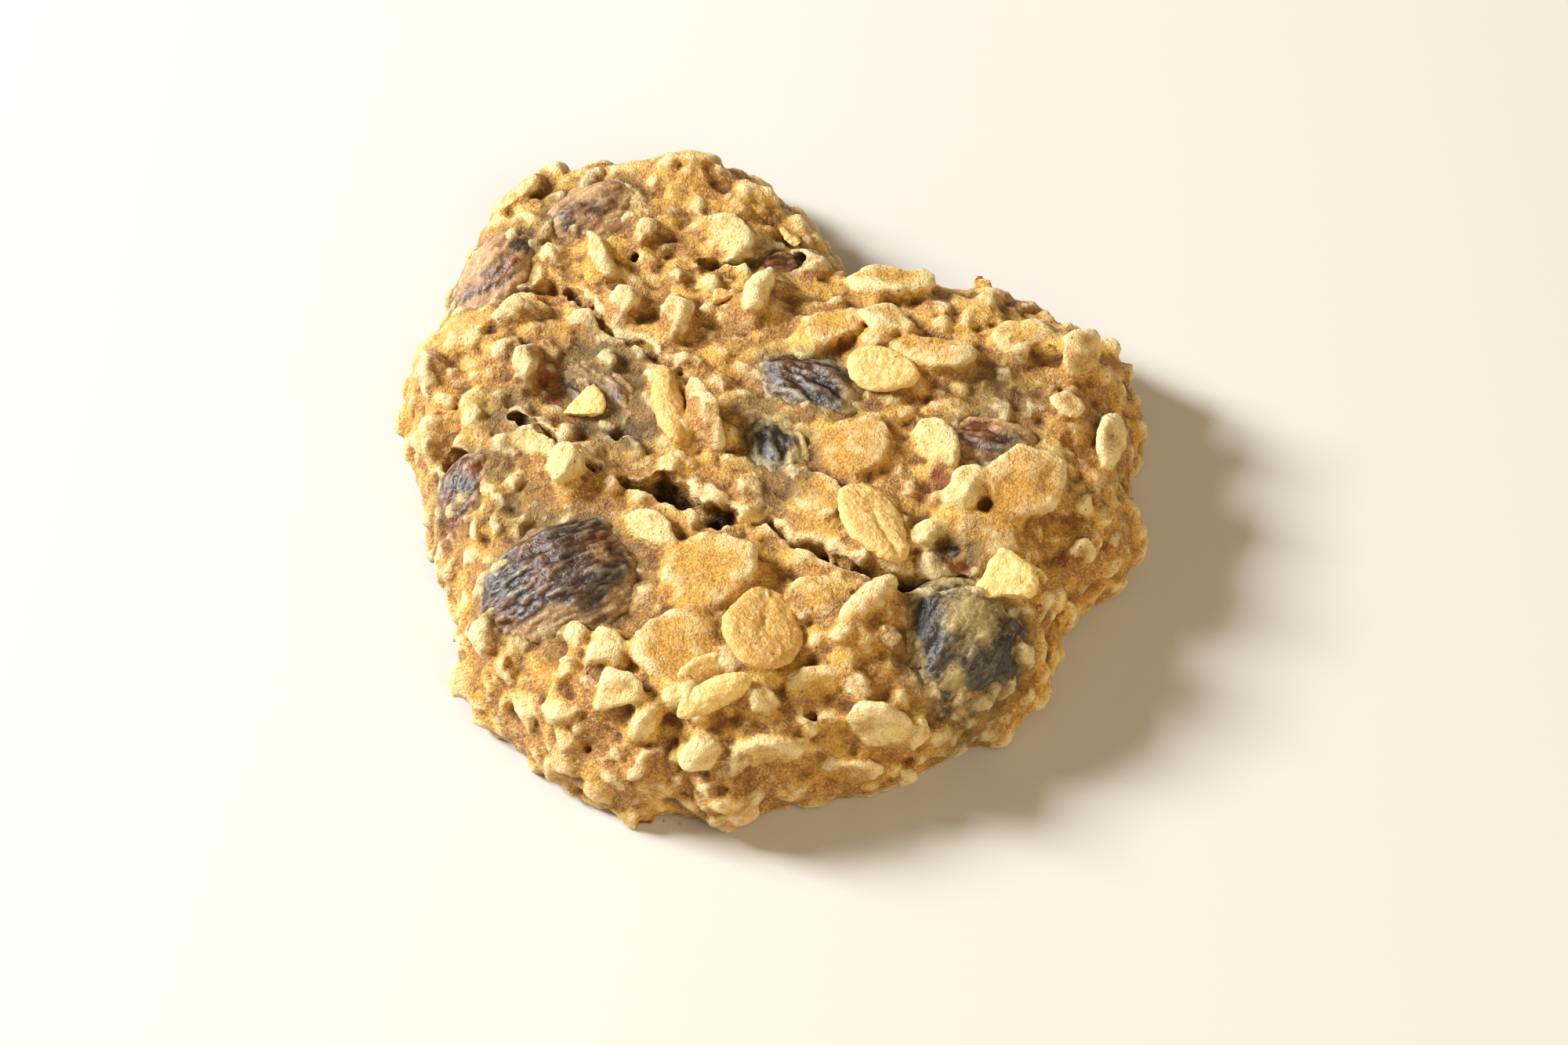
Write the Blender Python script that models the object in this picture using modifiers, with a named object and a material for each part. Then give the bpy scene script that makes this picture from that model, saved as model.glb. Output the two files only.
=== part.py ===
"""Oatmeal raisin cookie: a hand-shaped heart of oat dough with eleven raisins baked into it.

The frame: +Z up, the flat baked base on z = 0, and the origin under the middle of the cookie's bounding box.
+Y points to the heart's smaller lobe and its notch, -Y to its blunt tip. The dough is one solid: two domed
patties grown together, with the larger rolled-oat flakes standing out of the crust, the cracks that opened in
the oven, and a socket for each raisin. Each raisin is a solid of its own, with its lengthwise folds.
"""

import math
import random

import bmesh
import bpy
import numpy as np
from mathutils import Matrix, Vector, noise

MM = 0.001

# Driving dimensions, in millimetres.
BODY_HEIGHT = 11.0
BODY_CROWN = 1.3
LOBE_HEIGHT = 9.6
EDGE_RUN = 10.0
EDGE_POWER = 2.2
VALLEY_BLEND = 1.6
FOOT_HEIGHT = 0.5
BASE_SINK = 1.5
UNDERCUT = 1.5
UNDERCUT_HEIGHT = 4.0
HUB = (-2.0, -3.0)
BODY_CENTRE = (0.0, -8.0)
BODY_RADIUS = 33.0
SWELL_SIZE = 9.0
SWELL_RISE = 0.45
WALL_LUMP_SIZE = 4.5
WALL_LUMP_RISE = 0.55
FLAKE_THICKNESS = 1.3
RAISIN_GAP = 0.35
DOUGH_VOXEL = 0.62
DOUGH_TRIANGLES_KEPT = 0.066
CRUMB_LUMPS = 130
LUMP_SEED = 7
TRIM_SIDE = 120.0

# The widest line of the side wall, anticlockwise from the right, as places in millimetres.
OUTLINE = (
    (36.0, 4.0), (35.6, 10.0), (33.6, 14.5), (30.0, 17.0), (26.6, 19.0), (22.0, 21.3), (16.5, 22.0),
    (11.0, 21.9), (7.6, 22.1), (6.6, 25.0), (4.4, 30.0), (0.5, 35.2), (-5.0, 38.4), (-10.5, 39.6),
    (-15.0, 39.3), (-18.5, 37.8), (-23.2, 37.2), (-26.4, 34.4), (-29.4, 30.2), (-31.6, 25.4),
    (-33.0, 21.0), (-33.2, 17.6), (-35.6, 14.8), (-36.3, 10.0), (-35.9, 4.0), (-34.5, -3.0),
    (-32.4, -9.5), (-30.4, -15.0), (-29.8, -20.5), (-28.3, -26.2), (-24.2, -30.6), (-20.6, -34.2),
    (-15.8, -37.2), (-12.0, -38.0), (-7.8, -37.9), (-4.5, -39.8), (-1.0, -37.9), (4.0, -36.3),
    (8.0, -36.1), (12.0, -34.8), (16.0, -32.0), (19.6, -29.8), (23.8, -27.2), (26.6, -22.0),
    (27.8, -17.0), (29.8, -14.6), (33.6, -12.2), (35.6, -8.0), (34.8, -3.0),
)
NOTCH, KINK = 8, 21
# Where each patty's own edge runs under the other one.
BODY_FAR_RIM = ((5.0, 22.6), (-2.0, 23.4), (-12.0, 23.2), (-22.0, 22.0), (-30.0, 19.6))
LOBE_NEAR_RIM = ((-29.0, 13.0), (-14.0, 9.5), (0.0, 13.0), (6.0, 18.0))

# name: place (x, y), length, width, height, heading and roll in degrees, how far its top stands above the crust.
RAISINS = {
    "raisin_front_left": ((-19.6, -17.9), 15.0, 14.4, 8.4, 20, 0, 1.7),
    "raisin_front_right": ((17.5, -25.2), 13.6, 13.0, 8.0, 60, -8, 1.5),
    "raisin_centre": ((3.7, 4.6), 12.5, 7.0, 6.0, -30, 0, 1.1),
    "raisin_centre_low": ((0.4, -2.6), 8.8, 7.0, 6.0, -70, 0, 0.6),
    "raisin_right": ((20.7, -2.0), 10.5, 7.6, 6.0, -15, 0, 0.7),
    "raisin_lobe_inner": ((-18.3, 29.0), 11.0, 7.0, 5.6, 30, 0, 1.0),
    "raisin_lobe_outer": ((-28.6, 20.6), 12.0, 7.6, 6.2, 56, 12, 1.2),
    "raisin_left_rim": ((-30.2, -6.2), 8.4, 6.2, 5.0, 66, 14, 0.8),
    "raisin_upper_left": ((-17.2, 4.6), 14.0, 11.6, 7.4, -50, 0, 0.9),
    "raisin_right_small": ((17.8, -14.6), 6.0, 4.6, 4.2, 20, 0, 0.5),
    "raisin_notch": ((0.7, 22.0), 6.0, 5.0, 4.6, 10, 0, 0.6),
}
RAISIN_SEGMENTS, RAISIN_RINGS = 14, 8
RAISIN_FOLDS = 5
FOLD_DEPTH = 0.11

# Rolled-oat flakes that stand out of the crust: place (x, y), length, width, heading, tilt about the length, lift.
FLAKES = (
    ((-1.3, -25.1), 10.4, 7.6, 84, 8, 0.5), ((9.6, -12.3), 9.2, 5.8, -62, -8, 0.5),
    ((4.6, -9.8), 6.0, 5.0, -60, 6, 0.2), ((-5.8, -18.1), 9.4, 8.6, 20, 0, 0.2),
    ((-8.7, -27.0), 9.0, 7.4, 35, 4, 0.1), ((-5.1, -32.0), 8.0, 3.4, 28, 30, 0.2),
    ((24.0, -7.5), 8.6, 7.4, 30, 5, 0.6), ((23.4, -18.6), 6.6, 5.2, -20, 6, 0.7),
    ((15.6, 7.7), 8.4, 5.0, -12, -6, 0.4), ((10.6, 5.2), 7.4, 5.4, -20, 4, 0.5),
    ((11.2, 11.7), 5.0, 3.8, -24, -8, 0.4), ((11.4, 18.4), 9.4, 5.0, 0, -14, 0.6),
    ((8.1, -3.5), 7.4, 6.6, 30, 0, 0.1), ((15.6, -3.2), 6.0, 3.8, -60, 8, 0.1),
    ((18.1, -9.0), 5.2, 4.4, 40, 4, 0.3), ((20.6, -13.0), 8.6, 6.0, -14, 0, 0.0),
    ((32.4, -0.6), 6.0, 4.4, 80, 30, 0.2), ((28.3, 1.6), 4.2, 3.4, 10, 0, 0.5),
    ((29.8, 8.4), 6.0, 5.0, 60, 12, 0.5), ((24.2, 10.2), 6.6, 5.0, 20, -6, 0.3),
    ((-10.0, 1.1), 10.6, 3.6, 102, 10, 0.5), ((-22.6, -2.6), 5.2, 4.4, -60, 8, 0.4),
    ((-19.7, -5.9), 5.0, 4.0, 60, 0, 0.4), ((-11.4, -13.6), 5.6, 4.2, -40, 0, 0.4),
    ((-16.1, -26.9), 6.0, 4.6, 10, 0, 0.4), ((-15.2, -31.2), 7.4, 4.6, 0, 12, 0.3),
    ((-6.3, -36.2), 7.0, 6.0, 20, 10, -0.2), ((0.6, -34.0), 8.0, 4.0, 6, 24, 0.0),
    ((9.7, -32.6), 6.4, 4.8, -20, 12, 0.2), ((3.6, -20.7), 5.0, 4.8, 40, 0, 0.0),
    ((8.3, -22.9), 7.4, 5.8, 40, -6, 0.5), ((-4.3, 24.6), 5.4, 4.4, -50, 0, 0.2),
    ((-8.5, 34.6), 7.0, 5.0, 0, -12, 0.4), ((-25.5, 32.0), 7.0, 4.6, 50, -10, 0.4),
    ((-1.8, 15.6), 5.2, 4.4, 60, 0, 0.5), ((-17.6, 21.4), 5.4, 4.6, 30, 0, 0.4),
)

# Cracks: places (x, y) and half the width at each, and how deep the crack goes.
CRACKS = {
    "crack_main": (
        ((-19.5, -3.6, 0.12), (-15.8, -6.2, 0.35), (-13.4, -6.6, 0.4), (-10.9, -8.6, 1.0), (-7.4, -10.6, 1.1),
         (-5.2, -12.2, 0.8), (-2.2, -11.9, 0.55), (1.8, -13.7, 0.7), (4.4, -15.2, 0.95), (8.2, -17.2, 0.5),
         (11.6, -19.2, 0.65), (15.0, -19.4, 0.5), (18.6, -19.8, 0.3)), 4.6),
    "crack_upper": (
        ((-19.4, 17.6, 0.12), (-17.6, 14.2, 0.45), (-16.2, 11.6, 0.4), (-13.4, 10.4, 0.4), (-10.4, 7.2, 0.35),
         (-8.6, 4.4, 0.12)), 3.2),
}
CRACK_REACH = 3.0


def clear_scene():
    for old in list(bpy.data.objects):
        bpy.data.objects.remove(old, do_unlink=True)


def new_collection(name):
    collection = bpy.data.collections.new(name)
    bpy.context.scene.collection.children.link(collection)
    return collection


def material(name, colour, roughness):
    made = bpy.data.materials.new(name)
    made.use_nodes = True
    shader = made.node_tree.nodes["Principled BSDF"]
    shader.inputs["Base Color"].default_value = (*colour, 1.0)
    shader.inputs["Roughness"].default_value = roughness
    shader.inputs["Metallic"].default_value = 0.0
    return made


def object_from(bm, name, collection, finish=None):
    """A named object from a bmesh, which is freed."""
    mesh = bpy.data.meshes.new(name)
    bm.to_mesh(mesh)
    bm.free()
    made = bpy.data.objects.new(name, mesh)
    collection.objects.link(made)
    if finish:
        mesh.materials.append(finish)
    return made


def closed_curve(points, steps=10):
    """A smooth closed line through the points, as an array of places."""
    p = np.array(points, float)
    before, after, beyond = np.roll(p, 1, 0), np.roll(p, -1, 0), np.roll(p, -2, 0)
    line = []
    for t in np.arange(steps) / steps:
        line.append(
            0.5 * (2 * p + (after - before) * t + (2 * before - 5 * p + 4 * after - beyond) * t**2
                   + (3 * p - before - 3 * after + beyond) * t**3)
        )
    return np.stack(line, axis=1).reshape(-1, 2)


def depth_inside(places, line):
    """How far each place lies inside a closed line: its distance to the line, or 0 outside."""
    start, run = line, np.roll(line, -1, 0) - line
    offset = places[:, None, :] - start[None]
    share = np.clip((offset * run).sum(2) / (run * run).sum(1), 0, 1)
    distance = np.linalg.norm(offset - share[..., None] * run, axis=2).min(1)
    rises = (start[None, :, 1] > places[:, None, 1]) != (start[None, :, 1] + run[None, :, 1] > places[:, None, 1])
    with np.errstate(divide="ignore", invalid="ignore"):
        crossing = start[None, :, 0] + (places[:, None, 1] - start[None, :, 1]) / run[None, :, 1] * run[None, :, 0]
    inside = (rises & (crossing > places[:, None, 0])).sum(1) % 2 == 1
    return np.where(inside, distance, 0.0)


def edge_rise(depth, run):
    """The share of its full height that a domed patty has reached this far in from its edge."""
    share = np.clip(depth / run, 0, 1)
    return (1 - (1 - share) ** EDGE_POWER) ** (1 / EDGE_POWER)


def smooth_highest(a, b, blend):
    """The higher of two surfaces, with the valley between them filled softly."""
    overlap = np.clip(blend - np.abs(a - b), 0, None)
    return np.maximum(a, b) + overlap**2 / (4 * blend)


COOKIE_LINE = closed_curve(OUTLINE)
BODY_LINE = closed_curve(OUTLINE[:NOTCH] + BODY_FAR_RIM + OUTLINE[KINK:])
LOBE_LINE = closed_curve(OUTLINE[NOTCH:KINK] + LOBE_NEAR_RIM)


def crust_height(places):
    """The height of the crust over each (x, y), without flakes, in millimetres."""
    places = np.atleast_2d(np.array(places, float))
    from_centre = np.linalg.norm(places - BODY_CENTRE, axis=1) / BODY_RADIUS
    crown = BODY_HEIGHT + BODY_CROWN * np.clip(1 - from_centre**2, 0, 1)
    body = crown * edge_rise(depth_inside(places, BODY_LINE), EDGE_RUN)
    lobe = LOBE_HEIGHT * edge_rise(depth_inside(places, LOBE_LINE), EDGE_RUN)
    return smooth_highest(body, lobe, VALLEY_BLEND)


def outline_radius(headings):
    """The distance from the hub to the outline at each heading."""
    offset = COOKIE_LINE - HUB
    line_heading = np.arctan2(offset[:, 1], offset[:, 0])
    order = np.argsort(line_heading)
    return np.interp(
        headings, line_heading[order], np.linalg.norm(offset, axis=1)[order], period=2 * math.pi
    )


def dough_core(bm):
    """The two patties as one closed form: a sphere pulled out to the outline and down to the crust's height."""
    made = bmesh.ops.create_uvsphere(bm, u_segments=200, v_segments=72, radius=1.0)["verts"]
    unit = np.array([v.co for v in made])
    heading, share = np.arctan2(unit[:, 1], unit[:, 0]), np.linalg.norm(unit[:, :2], axis=1)
    reach = (outline_radius(heading) * share)[:, None]
    places = HUB + reach * np.stack([np.cos(heading), np.sin(heading)], axis=1)
    height = crust_height(places)
    for vertex, place, side, top in zip(made, places, unit[:, 2], height):
        x, y = float(place[0]), float(place[1])
        if side <= 0:
            vertex.co = Vector((x, y, -BASE_SINK)) * MM
            continue
        swell = SWELL_RISE * noise.noise(Vector((x, y, 0)) / SWELL_SIZE)
        vertex.co = Vector((x, y, max(top + swell * min(1, top / BODY_HEIGHT), FOOT_HEIGHT))) * MM
    bmesh.ops.recalc_face_normals(bm, faces=bm.faces)
    bm.normal_update()
    for vertex in made:
        if vertex.co.z > FOOT_HEIGHT * MM:
            lump = noise.noise(vertex.co / (WALL_LUMP_SIZE * MM))
            vertex.co += vertex.normal * (lump * WALL_LUMP_RISE * MM)
    hub = Vector((*HUB, 0)) * MM
    for vertex in made:
        outward = (vertex.co - hub) * Vector((1, 1, 0))
        lowness = min(max(1 - vertex.co.z / (UNDERCUT_HEIGHT * MM), 0), 1)
        if outward.length > 2 * UNDERCUT * MM:
            vertex.co -= outward.normalized() * (UNDERCUT * MM * lowness**2)


def clear_of_raisins(place, reach):
    """Whether a spot of this radius lies outside every raisin."""
    return all(
        math.dist(place, raisin[0]) > max(raisin[1], raisin[2]) / 2 + reach for raisin in RAISINS.values()
    )


def crust_lean(place):
    """The crust's upward normal over a place."""
    x, y = place
    reach = 1.5
    probes = ((x - reach, y), (x + reach, y), (x, y - reach), (x, y + reach))
    west, east, south, north = crust_height(probes)
    return Vector(((west - east) / (2 * reach), (south - north) / (2 * reach), 1.0)).normalized()


def seat_on_crust(place, heading, roll, lift):
    """The placing of a thing that lies on the crust, lifted by so many millimetres along the crust's normal."""
    lean = crust_lean(place)
    centre = Vector((*place, float(crust_height([place])[0]))) + lean * lift
    upright = Vector((0, 0, 1)).rotation_difference(lean).to_matrix().to_4x4()
    turn = Matrix.Rotation(math.radians(heading), 4, "Z") @ Matrix.Rotation(math.radians(roll), 4, "X")
    return Matrix.Translation(centre * MM) @ upright @ turn


def add_flake(bm, place, length, width, heading, tilt, lift):
    """One rolled-oat flake: a flat oval disc with a round edge, half sunk in the crust."""
    size = Matrix.Diagonal((length / 2 * MM, width / 2 * MM, FLAKE_THICKNESS / 2 * MM, 1))
    disc = bmesh.ops.create_uvsphere(bm, u_segments=16, v_segments=8, radius=1.0)["verts"]
    flatness = 0.55
    for vertex in disc:
        vertex.co.z = math.copysign(abs(vertex.co.z) ** flatness, vertex.co.z)
    bmesh.ops.transform(bm, matrix=seat_on_crust(place, heading, tilt, lift) @ size, verts=disc)


def add_crumb_lumps(bm):
    """Small knobs of oat and dough, thickest on the side wall and the lobe."""
    draw = random.Random(LUMP_SEED)
    smallest, largest, edge_margin = 0.9, 1.9, 1.3
    for _ in range(CRUMB_LUMPS):
        heading = draw.uniform(0, 2 * math.pi)
        share = 1 - 0.5 * draw.random() ** 2.2
        reach = float(outline_radius([heading])[0]) * share - edge_margin
        place = (HUB[0] + reach * math.cos(heading), HUB[1] + reach * math.sin(heading))
        radius = draw.uniform(smallest, largest)
        height = max(float(crust_height([place])[0]) * draw.uniform(0.4, 1.0), largest)
        if not clear_of_raisins(place, radius):
            continue
        lump = bmesh.ops.create_icosphere(bm, subdivisions=2, radius=radius * MM)["verts"]
        bmesh.ops.translate(bm, verts=lump, vec=Vector((*place, height)) * MM)


def raisin_form(length, width, height, seed):
    """A raisin lying along X: an egg with folds from end to end, in metres."""
    bm = bmesh.new()
    bmesh.ops.create_uvsphere(bm, u_segments=RAISIN_SEGMENTS, v_segments=RAISIN_RINGS, radius=1.0)
    bmesh.ops.rotate(bm, matrix=Matrix.Rotation(math.pi / 2, 3, "Y"), verts=bm.verts)
    phase, twist, blunt_end = seed * 1.7, 0.9, 0.12
    for vertex in bm.verts:
        along = vertex.co.x
        around = math.atan2(vertex.co.z, vertex.co.y)
        fold = 0.5 + 0.5 * math.cos(RAISIN_FOLDS * around + phase + twist * along)
        girth = (1 - FOLD_DEPTH * fold * (1 - along**4)) * (1 + blunt_end * along)
        vertex.co.y *= girth
        vertex.co.z *= girth
    bmesh.ops.scale(bm, vec=Vector((length, width, height)) * (MM / 2), verts=bm.verts)
    bmesh.ops.recalc_face_normals(bm, faces=bm.faces)
    return bm


def make_raisins(parts, cutters, finish):
    """The raisins, and for each a slightly larger copy that cuts its socket."""
    sockets = []
    for seed, (name, (place, length, width, height, heading, roll, proud)) in enumerate(RAISINS.items()):
        seat = seat_on_crust(place, heading, roll, proud - height / 2)
        for grown in (0.0, RAISIN_GAP):
            bm = raisin_form(length, width, height, seed)
            bm.normal_update()
            for vertex in bm.verts:
                vertex.co += vertex.normal * (grown * MM)
            bmesh.ops.transform(bm, matrix=seat, verts=bm.verts)
            if grown:
                sockets.append(object_from(bm, name + "_socket", cutters))
            else:
                raisin = object_from(bm, name, parts, finish)
                raisin.data.shade_smooth()
    return sockets


def make_crack(name, route, depth, cutters):
    """A wedge along a jagged route: open above the crust, closing to an edge below it."""
    bm = bmesh.new()
    places = np.array([(x, y) for x, y, _ in route])
    along = np.gradient(places, axis=0)
    across = np.stack([-along[:, 1], along[:, 0]], axis=1) / np.linalg.norm(along, axis=1)[:, None]
    tops = crust_height(places)
    sections = []
    for place, side, (_, _, half_width), top in zip(places, across, route, tops):
        spread = side * half_width * (1 + CRACK_REACH / depth)
        corners = (
            (*(place + spread), top + CRACK_REACH),
            (*(place - spread), top + CRACK_REACH),
            (*place, top - depth),
        )
        sections.append([bm.verts.new(Vector(corner) * MM) for corner in corners])
    for here, there in zip(sections, sections[1:]):
        for k in range(3):
            bm.faces.new((here[k], here[(k + 1) % 3], there[(k + 1) % 3], there[k]))
    bm.faces.new(sections[0][::-1])
    bm.faces.new(sections[-1])
    bmesh.ops.triangulate(bm, faces=bm.faces)
    bmesh.ops.recalc_face_normals(bm, faces=bm.faces)
    return object_from(bm, name, cutters)


def make_table_top(cutters):
    """A block whose top is z = 0, which trims the base flat."""
    bm = bmesh.new()
    bmesh.ops.create_cube(bm, size=1.0)
    thickness = 4 * BASE_SINK
    bmesh.ops.scale(bm, vec=Vector((TRIM_SIDE, TRIM_SIDE, thickness)) * MM, verts=bm.verts)
    bmesh.ops.translate(bm, vec=Vector((0, 0, -thickness / 2)) * MM, verts=bm.verts)
    return object_from(bm, "table_top", cutters)


def make_dough(parts, cutters, finish, cuts):
    """The baked dough: core, flakes and knobs fused into one skin, then thinned out and cut."""
    bm = bmesh.new()
    dough_core(bm)
    for flake in FLAKES:
        add_flake(bm, *flake)
    add_crumb_lumps(bm)
    dough = object_from(bm, "dough", parts, finish)
    fuse = dough.modifiers.new("fuse", "REMESH")
    fuse.mode = "VOXEL"
    fuse.voxel_size = DOUGH_VOXEL * MM
    thin = dough.modifiers.new("thin_out", "DECIMATE")
    thin.ratio = DOUGH_TRIANGLES_KEPT
    for cutter in cuts:
        cut = dough.modifiers.new("cut_" + cutter.name, "BOOLEAN")
        cut.operation = "DIFFERENCE"
        cut.object = cutter
    return dough


def hide_cutters(cutters):
    for cutter in cutters.objects:
        cutter.hide_render = True
        cutter.display_type = "WIRE"


def main():
    clear_scene()
    parts = new_collection("oatmeal_raisin_cookie")
    cutters = new_collection("cutters")
    baked = material("baked_dough", (0.52, 0.27, 0.085), 0.62)
    skin = material("raisin_skin", (0.055, 0.022, 0.014), 0.38)
    sockets = make_raisins(parts, cutters, skin)
    cracks = [make_crack(name, *crack, cutters) for name, crack in CRACKS.items()]
    make_dough(parts, cutters, baked, [make_table_top(cutters), *sockets, *cracks])
    hide_cutters(cutters)


main()
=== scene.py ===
"""Looks of the oatmeal raisin cookie: its baked crust, rolled oats and wrinkled raisins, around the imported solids."""

import math
import random

import bmesh
import bpy
import numpy as np
from mathutils import Matrix, Vector, noise
from mathutils.bvhtree import BVHTree


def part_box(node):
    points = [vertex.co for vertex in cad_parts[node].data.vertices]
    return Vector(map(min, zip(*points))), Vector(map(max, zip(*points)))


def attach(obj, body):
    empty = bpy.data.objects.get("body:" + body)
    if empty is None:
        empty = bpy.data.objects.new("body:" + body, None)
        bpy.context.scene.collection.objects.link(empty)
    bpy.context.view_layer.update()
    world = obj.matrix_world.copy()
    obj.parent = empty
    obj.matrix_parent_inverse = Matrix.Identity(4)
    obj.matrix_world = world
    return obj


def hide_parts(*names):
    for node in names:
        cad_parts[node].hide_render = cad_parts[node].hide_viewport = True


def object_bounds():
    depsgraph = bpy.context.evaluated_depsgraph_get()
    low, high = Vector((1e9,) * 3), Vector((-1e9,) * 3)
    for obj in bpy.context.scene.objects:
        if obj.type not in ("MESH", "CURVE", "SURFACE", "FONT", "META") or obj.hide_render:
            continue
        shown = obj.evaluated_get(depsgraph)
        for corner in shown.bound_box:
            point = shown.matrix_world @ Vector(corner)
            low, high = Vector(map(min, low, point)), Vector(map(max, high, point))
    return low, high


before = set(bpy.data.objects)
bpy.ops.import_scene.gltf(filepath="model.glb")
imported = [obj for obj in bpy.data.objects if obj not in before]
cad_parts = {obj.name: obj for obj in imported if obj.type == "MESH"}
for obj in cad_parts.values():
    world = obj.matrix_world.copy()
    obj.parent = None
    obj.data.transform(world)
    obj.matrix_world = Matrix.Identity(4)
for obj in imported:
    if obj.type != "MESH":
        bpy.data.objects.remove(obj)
cad_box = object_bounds()

MM = 0.001
RAISIN_NODES = sorted(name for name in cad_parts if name.startswith("raisin"))

# How finely the crust is modelled, in millimetres, and how many triangles it may keep.
BASE_VOXEL = 0.5
CRUST_VOXEL = 0.3
CRUST_TRIANGLES = 190000
FOOT_DROP = 1.5
# Size and depth of the grains in the dough's torn, sugary surface.
CRUMB_LUMPS = (3.0, 0.3)
CRUMB_GRAINS = ((1.6, 0.34), (0.9, 0.28), (0.5, 0.22))

# Rolled oats whose place shows: kind, place (x, y) in millimetres, length, width, heading, roll, pitch, lift.
CLEAN_OATS = (
    ("creased", -1.0, -24.9, 10.4, 8.0, 80, 6, 12, 0.5, 0.1),
    ("creased", 9.4, -13.2, 10.2, 6.2, -62, -10, 0, 0.5, 0.6),
    ("broken", 20.6, -18.4, 9.0, 7.0, -16, 8, 8, 0.6, 1.0),
    ("broken", -18.6, 2.1, 5.8, 5.0, -25, 4, 0, 0.5, 1.0),
    ("sliver", -10.2, 1.2, 9.6, 3.2, 100, 12, 0, 0.4, 0.3),
    ("creased", 10.5, 5.4, 7.4, 5.2, -14, 4, 0, 0.5),
    ("broken", -5.4, 15.4, 3.8, 2.8, 20, 0, 12, 0.7),
    ("broken", 1.4, 25.6, 3.8, 2.8, 70, 10, 20, 0.8),
    ("sliver", -5.3, -31.6, 7.8, 3.0, 26, 34, 0, 0.4),
    ("plain", -6.4, -28.9, 7.0, 3.4, 34, 18, 0, 0.2),
)
COATED_OATS = (
    ("plain", 4.4, -9.6, 6.2, 5.0, -60, 8, 0, 0.2),
    ("plain", -5.8, -18.1, 9.4, 8.8, 20, 0, 0, 0.3),
    ("plain", -8.7, -26.2, 9.2, 7.6, 35, 4, 8, 0.2),
    ("plain", 24.0, -8.0, 8.8, 7.6, 30, 8, 4, 1.0),
    ("plain", 15.6, 7.7, 8.6, 5.0, -12, -6, 0, 0.5),
    ("plain", 11.2, 12.0, 5.6, 4.0, -24, -8, 0, 0.5),
    ("plain", 11.6, 18.0, 9.4, 5.0, 0, -10, 0, 0.2),
    ("plain", 5.6, 11.4, 6.4, 4.4, 10, -8, 0, 0.5),
    ("plain", 8.1, -3.3, 7.6, 6.8, 30, 0, 0, 0.2),
    ("plain", 19.8, -13.6, 7.4, 5.4, -14, 4, 0, 0.3),
    ("curl", 8.3, -22.6, 8.6, 3.6, 50, 0, 0, 0.5),
    ("plain", 15.6, -31.4, 6.0, 3.4, -20, 10, 0, 0.4),
    ("plain", 28.3, 1.8, 4.2, 3.4, 0, 0, 0, 0.5),
    ("plain", 29.8, 8.6, 6.0, 5.0, 60, 12, 0, 0.5),
    ("plain", 24.2, 10.4, 6.4, 4.8, 20, -6, 0, 0.4),
    ("broken", 19.0, 13.4, 6.0, 4.6, 10, 0, 0, 0.4),
    ("knob", -7.0, 0.0, 8.0, 3.0, 110, 0, 0, 0.5),
    ("plain", 3.6, -20.5, 5.0, 4.4, 40, 0, 0, 0.3),
    ("sliver", 4.0, -29.4, 6.0, 3.2, 10, 20, 0, 0.4),
    ("plain", 6.9, -36.2, 7.0, 4.0, 5, 30, 0, 0.1),
    ("knob", -26.4, -22.6, 4.6, 3.6, 80, 0, 0, 0.3),
    ("knob", -33.0, 8.0, 6.4, 4.4, 90, 0, 0, 0.1),
    ("knob", -32.6, 0.6, 5.0, 3.8, 70, 0, 0, 0.1),
    ("plain", -29.6, 13.4, 6.0, 4.4, 40, 0, 0, 0.4),
    ("knob", -25.4, 13.6, 4.2, 3.6, 10, 0, 0, 0.4),
    ("knob", -24.0, 6.2, 6.4, 3.4, 80, 0, 0, 0.2),
    ("plain", -8.5, 35.4, 6.6, 4.6, 0, -12, 0, 0.3),
    ("plain", -14.0, 35.0, 6.0, 4.4, 20, -12, 0, 0.3),
    ("plain", -25.5, 32.2, 6.4, 4.4, 50, -10, 0, 0.3),
    ("knob", 3.6, 20.6, 4.4, 4.2, 10, 0, 0, 0.5),
    ("curl", -17.4, 21.6, 5.6, 2.6, 110, 0, 0, 0.7),
    ("knob", -21.9, 22.2, 3.4, 3.2, 10, 0, 0, 0.6),
    ("knob", -13.0, 24.6, 4.0, 3.0, 50, 0, 0, 0.5),
    ("knob", -14.6, 14.6, 4.6, 3.6, 60, 0, 0, 0.4),
    ("knob", -9.6, 12.8, 5.2, 3.8, 80, 0, 0, 0.4),
)
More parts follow.
